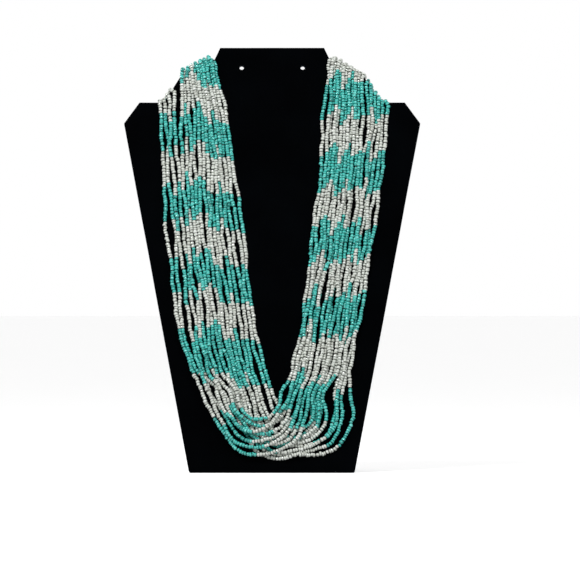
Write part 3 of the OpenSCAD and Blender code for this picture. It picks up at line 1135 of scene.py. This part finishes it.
@dataclass
class Draping:
    """Lets the strings press on the board and on each other until no two of them share a place."""

    surface: BoardSurface
    bead_width: float
    spacing: float
    stray: Stray = Stray()
    rounds: int = 100
    # In each round: the move towards the board, the shares of the way back to the charted place and to
    # the middle between the two neighbours, and how often meeting beads are pushed apart
    press: float = 0.012 * MM
    hold: float = 0.10
    tension: float = 0.12
    pushes_in_round: int = 3
    # Rounds after which the pairs are looked for again, and their reach in bead widths
    pair_rounds: int = 10
    pair_reach: float = 1.5
    # Beads at each end that stay in the clasp's mouth, and those after them that move less
    fixed_beads: int = 5
    easing_beads: int = 8
    # Distance from the board's face, in bead widths, from which a bead counts as in front of it
    front_reach: float = 0.45

    def settle(self, lines: list[Polyline]) -> list[Polyline]:
        """Moves the strings.

        Args:
            lines: each string's charted line, in board points.

        Returns:
            Each string's settled line.
        """
        rng = np.random.default_rng(SEED)
        counts = [int(line.length / self.spacing) + 1 for line in lines]
        chains = [line.at(np.linspace(0, line.length, n)) for line, n in zip(lines, counts)]
        starts = np.concatenate([[0], np.cumsum([len(c) for c in chains])])
        owner = np.repeat(np.arange(len(chains)), [len(c) for c in chains])
        free = np.concatenate([self.freedom(chain) for chain in chains])
        points = np.concatenate([self.stray.wander(chain, *self.hanging(chain), rng) for chain in chains])
        charted = points.copy()
        on_face = self.surface.beside(points[:, :2])[0] < -self.stray.fade / 2
        # A bead is held to its place across the board, up the board only over its face, and never outward
        held = self.hold * np.stack([np.ones(len(points)), on_face, np.zeros(len(points))], axis=1)
        inside = np.ones(len(points), bool)
        inside[starts[:-1]] = False
        inside[starts[1:] - 1] = False
        middle = np.flatnonzero(inside)
        for turn in range(self.rounds):
            if turn % self.pair_rounds == 0:
                pairs = self.close_pairs(points, owner)
            pull = np.zeros_like(points)
            pull[middle] = self.tension * ((points[middle - 1] + points[middle + 1]) / 2 - points[middle])
            pull += held * (charted - points)
            pull -= self.press * self.surface.clearance(points)[1]
            points += pull * free
            for _ in range(self.pushes_in_round):
                points += self.pushes(points, pairs) * free
            gap, out = self.surface.clearance(points)
            points += out * np.maximum(self.bead_width / 2 - gap, 0)[:, None] * (free > 0)
        LOG.info("beads of two strings overlap by %.2f mm at most", self.deepest(points, pairs) / MM)
        return [Polyline(points[a:b], steps=4) for a, b in zip(starts[:-1], starts[1:])]

    def deepest(self, points: np.ndarray, pairs: np.ndarray) -> float:
        """Depth of the deepest overlap that is left between two strings."""
        apart = np.linalg.norm(points[pairs[:, 0]] - points[pairs[:, 1]], axis=1)
        return self.bead_width - float(apart.min())

    def hanging(self, chain: np.ndarray) -> tuple[int, int]:
        """First and last bead of a string that hang in front of the board."""
        front = np.flatnonzero(chain[:, 2] > self.bead_width * self.front_reach)
        return front[0], front[-1]

    def freedom(self, chain: np.ndarray) -> np.ndarray:
        """How freely each bead of a string may move: not at all in the clasp's mouths.

        Args:
            chain: the string's beads.

        Returns:
            A column of numbers from 0 to 1.
        """
        index = np.arange(len(chain))
        from_mouth = np.minimum(index, len(chain) - 1 - index) - self.fixed_beads
        return np.clip(from_mouth / self.easing_beads, 0, 1)[:, None]

    def close_pairs(self, points: np.ndarray, owner: np.ndarray) -> np.ndarray:
        """Finds the pairs of beads of two strings that may meet soon.

        Args:
            points: all beads.
            owner: number of the string of each bead.

        Returns:
            Two indices for each pair.
        """
        tree = kdtree.KDTree(len(points))
        for k, point in enumerate(points):
            tree.insert(point, k)
        tree.balance()
        reach = self.bead_width * self.pair_reach
        found = [
            (k, other) for k, point in enumerate(points)
            for _, other, _ in tree.find_range(point, reach) if other > k and owner[other] != owner[k]
        ]
        return np.array(found, int).reshape(-1, 2)

    def pushes(self, points: np.ndarray, pairs: np.ndarray) -> np.ndarray:
        """Moves that take meeting beads apart.

        Args:
            points: all beads.
            pairs: the pairs that may meet.

        Returns:
            One move for each bead.
        """
        apart = points[pairs[:, 0]] - points[pairs[:, 1]]
        distance = np.linalg.norm(apart, axis=1)
        meets = distance < self.bead_width
        move = (apart[meets] / distance[meets, None]) * (self.bead_width - distance[meets, None]) / 2
        total = np.zeros_like(points)
        shares = np.zeros(len(points))
        for column, sign in ((0, 1), (1, -1)):
            np.add.at(total, pairs[meets, column], sign * move)
            np.add.at(shares, pairs[meets, column], 1)
        return total / np.maximum(shares, 1)[:, None]


# Beads in a regular block of one colour
BLOCK = 14


@dataclass(frozen=True)
class BlockLengths:
    """Beads in each block of colour of a sheet, counted down the sides of its outer and inner strings.

    The first block is turquoise. The beads between the last blocks of the two sides are white.
    """

    outer_left: tuple[int, ...]
    inner_left: tuple[int, ...]
    outer_right: tuple[int, ...]
    inner_right: tuple[int, ...]

    def ends(self, side: Side, share: float) -> np.ndarray:
        """Where the blocks of one string end.

        Args:
            side: the side of the necklace.
            share: the string's place in the sheet, from 0 at the outer one to 1 at the inner one.

        Returns:
            Number of beads down to the end of each block.
        """
        left = side is Side.LEFT
        outer = np.array(self.outer_left if left else self.outer_right)
        inner = np.array(self.inner_left if left else self.inner_right)
        return np.cumsum(np.round(outer + (inner - outer) * share).astype(int))


@dataclass(frozen=True)
class ColourPlan:
    """Blocks of beads in turns of turquoise and white, counted down from a charted height on each side."""

    front_sheet: BlockLengths = BlockLengths(
        outer_left=(BLOCK,) * 6 + (18, 19, 22), inner_left=(BLOCK,) * 6 + (19, 15, 12),
        outer_right=(BLOCK,) * 5 + (19, 18), inner_right=(BLOCK,) * 5 + (17, 14),
    )
    back_sheet: BlockLengths = BlockLengths(
        outer_left=(BLOCK,) * 6 + (21, 21, 6), inner_left=(BLOCK,) * 6 + (17, 27, 5),
        outer_right=(15, 14, 11, 14, 16, 22, 23), inner_right=(BLOCK,) * 4 + (16, 18, 12),
    )
    # Height up the board, in mm, at which a block of turquoise begins: string, left side, right side
    starts: Table = (
        (1, 268.9, 240.4), (2, 268.9, 236.6), (3, 261.4, 229.9), (4, 271.2, 242.6), (5, 265.2, 245.6),
        (6, 276.4, 242.6), (7, 268.2, 239.6), (8, 271.9, 235.9), (9, 277.2, 241.1), (10, 273.4, 240.4),
        (11, 265.2, 235.1), (12, 262.2, 232.1), (13, 259.2, 245.6), (14, 271.2, 238.9), (15, 262.9, 238.9),
        (16, 262.2, 237.4), (17, 261.4, 235.1), (18, 259.2, 247.1),
    )

    def colours(self, number: int, beads: np.ndarray, chart: StringChart) -> np.ndarray:
        """Colour of each bead of a string.

        Args:
            number: the string.
            beads: its bead middles, in board points.
            chart: the chart of the strings.

        Returns:
            The value of a BeadColour for each bead.
        """
        in_front = number <= chart.front_count
        sheet = self.front_sheet if in_front else self.back_sheet
        first, last = (1, chart.front_count) if in_front else (chart.front_count + 1, chart.count)
        share = (number - first) / (last - first)
        _, left_mm, right_mm = self.starts[number - 1]
        hanging = beads[:, 2] > 0
        bottom = int(np.argmin(beads[:, 1] + np.where(hanging, 0, FAR)))
        index = np.arange(len(beads))
        left_start = self.bead_at(beads, left_mm * MM, hanging & (index <= bottom))
        right_start = self.bead_at(beads, right_mm * MM, hanging & (index > bottom))
        from_left = self.blocks(index - left_start, sheet.ends(Side.LEFT, share))
        from_right = self.blocks(right_start - index, sheet.ends(Side.RIGHT, share))
        blocks = np.where(from_left >= 0, from_left, from_right)
        turquoise = (blocks >= 0) & (blocks % 2 == 0)
        return np.where(turquoise, BeadColour.TURQUOISE.value, BeadColour.WHITE.value)

    def bead_at(self, beads: np.ndarray, up: float, among: np.ndarray) -> int:
        """Index of the bead nearest to a height, among some of a string's beads."""
        return int(np.argmin(np.where(among, abs(beads[:, 1] - up), FAR)))

    def blocks(self, steps: np.ndarray, ends: np.ndarray) -> np.ndarray:
        """Number of each bead's block.

        Args:
            steps: beads counted down from the start of the first block, negative above it.
            ends: where the blocks end.

        Returns:
            The block's number, odd for white, and -1 beyond the last block.
        """
        above = steps // BLOCK % 2
        below = np.searchsorted(ends, steps, side="right")
        return np.where(steps < 0, above, np.where(steps < ends[-1], below, -1))


@dataclass
class BeadString:
    """One string: separate seed beads on a thread, from the clasp round to the clasp."""

    number: int
    plane: BoardPlane
    chart: StringChart
    plan: ColourPlan
    materials: list[bpy.types.Material]
    pitch: float = 1.975 * MM
    bead_width: float = 2.88 * MM
    hole_width: float = 0.9 * MM
    bead_length: float = 1.93 * MM
    sides: int = 10
    # A bead's section: angles of its points on an oval beside the hole, and how square the oval is
    section: Row = (90, 50, 5, -90, 175, 130)
    roundness: float = 1.2
    # How much the beads differ: tilt, offset, and shares of their length, width and roundness
    tilt: float = 0.14
    offset: float = 0.18 * MM
    length_spread: float = 0.15
    length_limits: Span = (-2, 2)
    width_spread: float = 0.08
    width_limits: Span = (-1.8, 1.1)
    oval_spread: float = 0.025
    thread_width: float = 0.5 * MM
    thread_sides: int = 5
    thread_step: int = 2

    def build(self, line: Polyline) -> bpy.types.Object:
        """Builds the string along its settled line.

        Args:
            line: the line, in board points.

        Returns:
            The finished piece.
        """
        rng = np.random.default_rng(SEED + self.number)
        lengths, middles = self.spread(line, rng)
        colours = self.plan.colours(self.number, line.at(middles), self.chart)
        world = Polyline(self.plane.to_world(line.points), steps=1)
        places = world.at(middles)
        third = self.pitch / 3
        headings = world.at(middles + third) - world.at(middles - third)
        beads, bead_faces = self.beads(places, headings, lengths / self.pitch, rng)
        thread, thread_faces = self.thread(world)
        vertices = np.concatenate([beads, thread])
        faces = np.concatenate([bead_faces, thread_faces + len(beads)])
        name = f"bead_string_{self.number:02d}"
        mesh = bpy.data.meshes.new(name)
        mesh.from_pydata(vertices.tolist(), [], faces.tolist())
        for material in self.materials:
            mesh.materials.append(material)
        in_bead = self.sides * len(self.section)
        on_thread = np.full(len(thread_faces), len(BeadColour))
        slots = np.concatenate([np.repeat(colours, in_bead), on_thread])
        mesh.polygons.foreach_set("material_index", slots.astype(np.int32))
        mesh.polygons.foreach_set("use_smooth", np.ones(len(faces), bool))
        # Painted shade: how far each point of a bead lies down its end towards the hole, which darkens its
        # colour there
        depth = np.clip(1 - np.sin(np.radians(self.section)), 0, 1)
        self.mark(mesh, "bead_tone", np.repeat(rng.random(len(places)), in_bead))
        self.mark(mesh, "bead_end", np.tile(depth, len(places) * self.sides))
        mesh.update()
        return add_piece(bpy.data.objects.new(name, mesh), "seed_beads", f"strand_{self.number:02d}")

    def mark(self, mesh: bpy.types.Mesh, name: str, numbers: np.ndarray) -> None:
        """Lets the points of the beads carry a number that their finish reads.

        Args:
            mesh: the string's mesh, with the thread's points after those of the beads.
            name: the number's name.
            numbers: the number at each point of the beads; it is 0 on the thread.
        """
        values = np.zeros(len(mesh.vertices), np.float32)
        values[:len(numbers)] = numbers
        mesh.attributes.new(name, "FLOAT", "POINT").data.foreach_set("value", values)

    def spread(self, line: Polyline, rng: np.random.Generator) -> tuple[np.ndarray, np.ndarray]:
        """Shares the line out among beads of slightly different lengths.

        Args:
            line: the string's line.
            rng: the string's own source of chance.

        Returns:
            Length of each bead's place and distance of its middle from the start.
        """
        count = round(line.length / self.pitch)
        lengths = 1 + self.length_spread * np.clip(rng.standard_normal(count), *self.length_limits)
        lengths *= line.length / lengths.sum()
        return lengths, np.cumsum(lengths) - lengths / 2

    def bead_shape(self) -> tuple[np.ndarray, np.ndarray]:
        """Shapes a bead with its hole along X, of unit length and width.

        Returns:
            Points and faces.
        """
        ring = np.radians(self.section)
        hole = self.hole_width / self.bead_width
        along = np.sign(np.cos(ring)) * abs(np.cos(ring)) ** self.roundness / 2
        bulge = np.sign(np.sin(ring)) * abs(np.sin(ring)) ** self.roundness
        out = (1 + hole) / 4 + bulge * (1 - hole) / 4
        turns = np.linspace(0, 2 * math.pi, self.sides, endpoint=False)
        points = np.array([
            (x, r * math.cos(turn), r * math.sin(turn)) for turn in turns for x, r in zip(along, out)
        ])
        n = len(ring)
        corners = ((0, 0), (0, 1), (1, 1), (1, 0))
        faces = np.array([
            [(s + a) % self.sides * n + (k + b) % n for a, b in corners]
            for s in range(self.sides) for k in range(n)
        ])
        return points, faces

    def beads(
        self, places: np.ndarray, headings: np.ndarray, stretch: np.ndarray, rng: np.random.Generator
    ) -> tuple[np.ndarray, np.ndarray]:
        """Points and faces of all beads of the string.

        Args:
            places: bead middles in the part's frame.
            headings: directions of the thread there.
            stretch: length of each bead's place, against the usual one.
            rng: the string's own source of chance.

        Returns:
            Points and faces.
        """
        shape, shape_faces = self.bead_shape()
        count = len(places)
        heads = unit(unit(headings) + rng.normal(0, self.tilt, (count, 3)))
        aside = unit(np.cross(heads, rng.normal(0, 1, (count, 3))))
        third = np.cross(heads, aside)
        spread = np.clip(rng.standard_normal(count), *self.width_limits)
        width = self.bead_width * (1 + self.width_spread * spread)
        oval = 1 + self.oval_spread * rng.standard_normal(count)
        length = self.bead_length * stretch
        x = shape[None, :, 0, None] * (heads * length[:, None])[:, None]
        y = shape[None, :, 1, None] * (aside * (width * oval)[:, None])[:, None]
        z = shape[None, :, 2, None] * (third * (width / oval)[:, None])[:, None]
        middles = places + rng.normal(0, self.offset, (count, 3))
        points = middles[:, None] + x + y + z
        faces = shape_faces[None] + (np.arange(count) * len(shape))[:, None, None]
        return points.reshape(-1, 3), faces.reshape(-1, 4)

    def thread(self, world: Polyline) -> tuple[np.ndarray, np.ndarray]:
        """Points and faces of the thread that runs through the beads.

        Args:
            world: the string's line in the part's frame.

        Returns:
            Points and faces.
        """
        rings = int(world.length / (self.thread_step * self.pitch))
        places = world.at(np.linspace(0, world.length, rings))
        heads = unit(np.gradient(places, axis=0))
        sides = [np.array([0.0, 0.0, 1.0])]
        for head in heads:
            side = sides[-1] - sides[-1].dot(head) * head
            sides.append(side / np.linalg.norm(side))
        aside = np.array(sides[1:])
        third = np.cross(heads, aside)
        turns = np.linspace(0, 2 * math.pi, self.thread_sides, endpoint=False)
        round_y, round_z = np.cos(turns)[None, :, None], np.sin(turns)[None, :, None]
        around = aside[:, None] * round_y + third[:, None] * round_z
        points = places[:, None] + around * self.thread_width / 2
        n = self.thread_sides
        k, s = np.meshgrid(np.arange(rings - 1), np.arange(n), indexing="ij")
        after = (s + 1) % n
        faces = np.stack([k * n + s, (k + 1) * n + s, (k + 1) * n + after, k * n + after], axis=-1)
        return points.reshape(-1, 3), faces.reshape(-1, 4)


@dataclass
class Necklace:
    """The eighteen strings and the clasp that they run into."""

    plane: BoardPlane
    turquoise: GlassBeadFinish = GlassBeadFinish(
        "turquoise_glass", deep=(0.02, 0.32, 0.285), middle=(0.065, 0.56, 0.50),
        pale=(0.16, 0.73, 0.66),
    )
    white: GlassBeadFinish = GlassBeadFinish(
        "pearl_white_glass", deep=(0.56, 0.58, 0.53), middle=(0.70, 0.735, 0.68),
        pale=(0.82, 0.85, 0.81),
    )
    clasp_edge: float = 0.5 * MM

    def build(self) -> None:
        """Builds the strings and the clasp."""
        routes = StringRoutes(StringChart(), self.plane)
        numbers = range(1, routes.chart.count + 1)
        lines = [Polyline(routes.route(i)) for i in numbers]
        surface = BoardSurface(routes.outline(), self.plane.thickness)
        draping = Draping(surface, bead_width=BeadString.bead_width, spacing=BeadString.pitch)
        lines = draping.settle(lines)
        materials = [self.turquoise.material(), self.white.material(), ThreadFinish().material()]
        plan = ColourPlan()
        for number, line in zip(numbers, lines):
            BeadString(number, self.plane, routes.chart, plan, materials).build(line)
            LOG.info("string %d is %.0f mm long", number, line.length / MM)
        CoveredSolid(
            node="clasp", name="clasp_body", slot="clasp_metal", finish=SatinMetalFinish(),
            edge_radius=self.clasp_edge,
        ).build()


@dataclass
class DisplayBoard:
    """The velvet covered board and the card strut behind it."""

    velvet_edge: float = 0.9 * MM
    velvet_cell: float = 8 * MM
    velvet_relief: float = 0.12 * MM
    card_edge: float = 0.4 * MM

    def build(self) -> None:
        """Builds the board and its strut."""
        CoveredSolid(
            node="display_board", name="velvet_board", slot="board_velvet", finish=VelvetFinish(),
            edge_radius=self.velvet_edge, cell=self.velvet_cell, relief=self.velvet_relief,
        ).build()
        CoveredSolid(
            node="easel_strut", name="card_strut", slot="strut_card", finish=CardFinish(),
            edge_radius=self.card_edge,
        ).build()


@dataclass(frozen=True)
class Softbox:
    """A square light that faces the middle of the object."""

    name: str
    place: Point
    size: float
    watts: float

    def build(self, target: Point) -> None:
        """Adds the light.

        Args:
            target: the point that it faces.
        """
        data = bpy.data.lights.new(self.name, "AREA")
        data.size = self.size
        data.energy = self.watts
        light = bpy.data.objects.new(self.name, data)
        light.location = self.place
        aim = Vector(target) - Vector(self.place)
        light.rotation_euler = aim.to_track_quat("-Z", "Y").to_euler()
        bpy.context.scene.collection.objects.link(light)


@dataclass
class Studio:
    """Pale floor, soft lights and the camera at the photograph's angle."""

    target: Point = (0.01306, 0.0, 0.1318)
    distance: float = 5.0
    # Width of the picture at the object
    shown_width: float = 0.4180
    sensor: float = 36.0
    view_depth: float = 100.0
    floor_reach: float = 30.0
    lights: tuple[Softbox, ...] = (
        Softbox("key", place=(-0.8, -1.5, 1.6), size=0.6, watts=34),
        Softbox("fill", place=(1.4, -1.7, 0.8), size=0.9, watts=12),
    )
    # Light from all round: behind the object, in front of it, and how far back the change between
    # them reaches, from 0 at the sides to 1 straight behind
    backdrop_strength: float = 1.0
    front_strength: float = 0.35
    backdrop_start: float = 0.9

    def build(self) -> None:
        """Builds the stage around the object."""
        self.camera()
        self.floor()
        self.world()
        for light in self.lights:
            light.build(self.target)
        bpy.context.scene.view_settings.view_transform = "Standard"

    def camera(self) -> None:
        """Adds the level camera that looks along +Y."""
        data = bpy.data.cameras.new("camera")
        data.sensor_width = self.sensor
        data.lens = self.sensor * self.distance / self.shown_width
        data.clip_end = self.view_depth
        camera = bpy.data.objects.new("camera", data)
        camera.location = (self.target[0], self.target[1] - self.distance, self.target[2])
        camera.rotation_euler = (math.radians(90), 0, 0)
        bpy.context.scene.collection.objects.link(camera)
        bpy.context.scene.camera = camera

    def floor(self) -> None:
        """Adds the floor."""
        mesh = bpy.data.meshes.new("floor")
        reach = self.floor_reach
        corners = [(-reach, -reach, 0), (reach, -reach, 0), (reach, reach, 0), (-reach, reach, 0)]
        mesh.from_pydata(corners, [], [(0, 1, 2, 3)])
        mesh.materials.append(FloorFinish().material())
        floor = bpy.data.objects.new("floor", mesh)
        floor.visible_diffuse = False
        bpy.context.scene.collection.objects.link(floor)

    def world(self) -> None:
        """Sets the soft light from all round: a white backdrop behind the object, and dimmer in front."""
        world = bpy.data.worlds.new("studio")
        bpy.context.scene.world = world
        world.use_nodes = True
        tree = world.node_tree
        way = tree.nodes.new("ShaderNodeTexCoord")
        parts = tree.nodes.new("ShaderNodeSeparateXYZ")
        dim = tree.nodes.new("ShaderNodeMapRange")
        dim.interpolation_type = "SMOOTHSTEP"
        dim.inputs["From Max"].default_value = self.backdrop_start
        dim.inputs["To Min"].default_value = self.front_strength
        dim.inputs["To Max"].default_value = self.backdrop_strength
        tree.links.new(way.outputs["Generated"], parts.inputs[0])
        tree.links.new(parts.outputs["Y"], dim.inputs["Value"])
        tree.nodes["Background"].inputs["Color"].default_value = (1.0, 1.0, 1.0, 1.0)
        tree.links.new(dim.outputs["Result"], tree.nodes["Background"].inputs["Strength"])


def main() -> None:
    """Builds the board, the necklace and the studio."""
    logging.basicConfig(level=logging.INFO, format="%(message)s")
    plane = BoardPlane.from_frame()
    DisplayBoard().build()
    Necklace(plane).build()
    Studio().build()


if __name__ == "__main__":
    main()
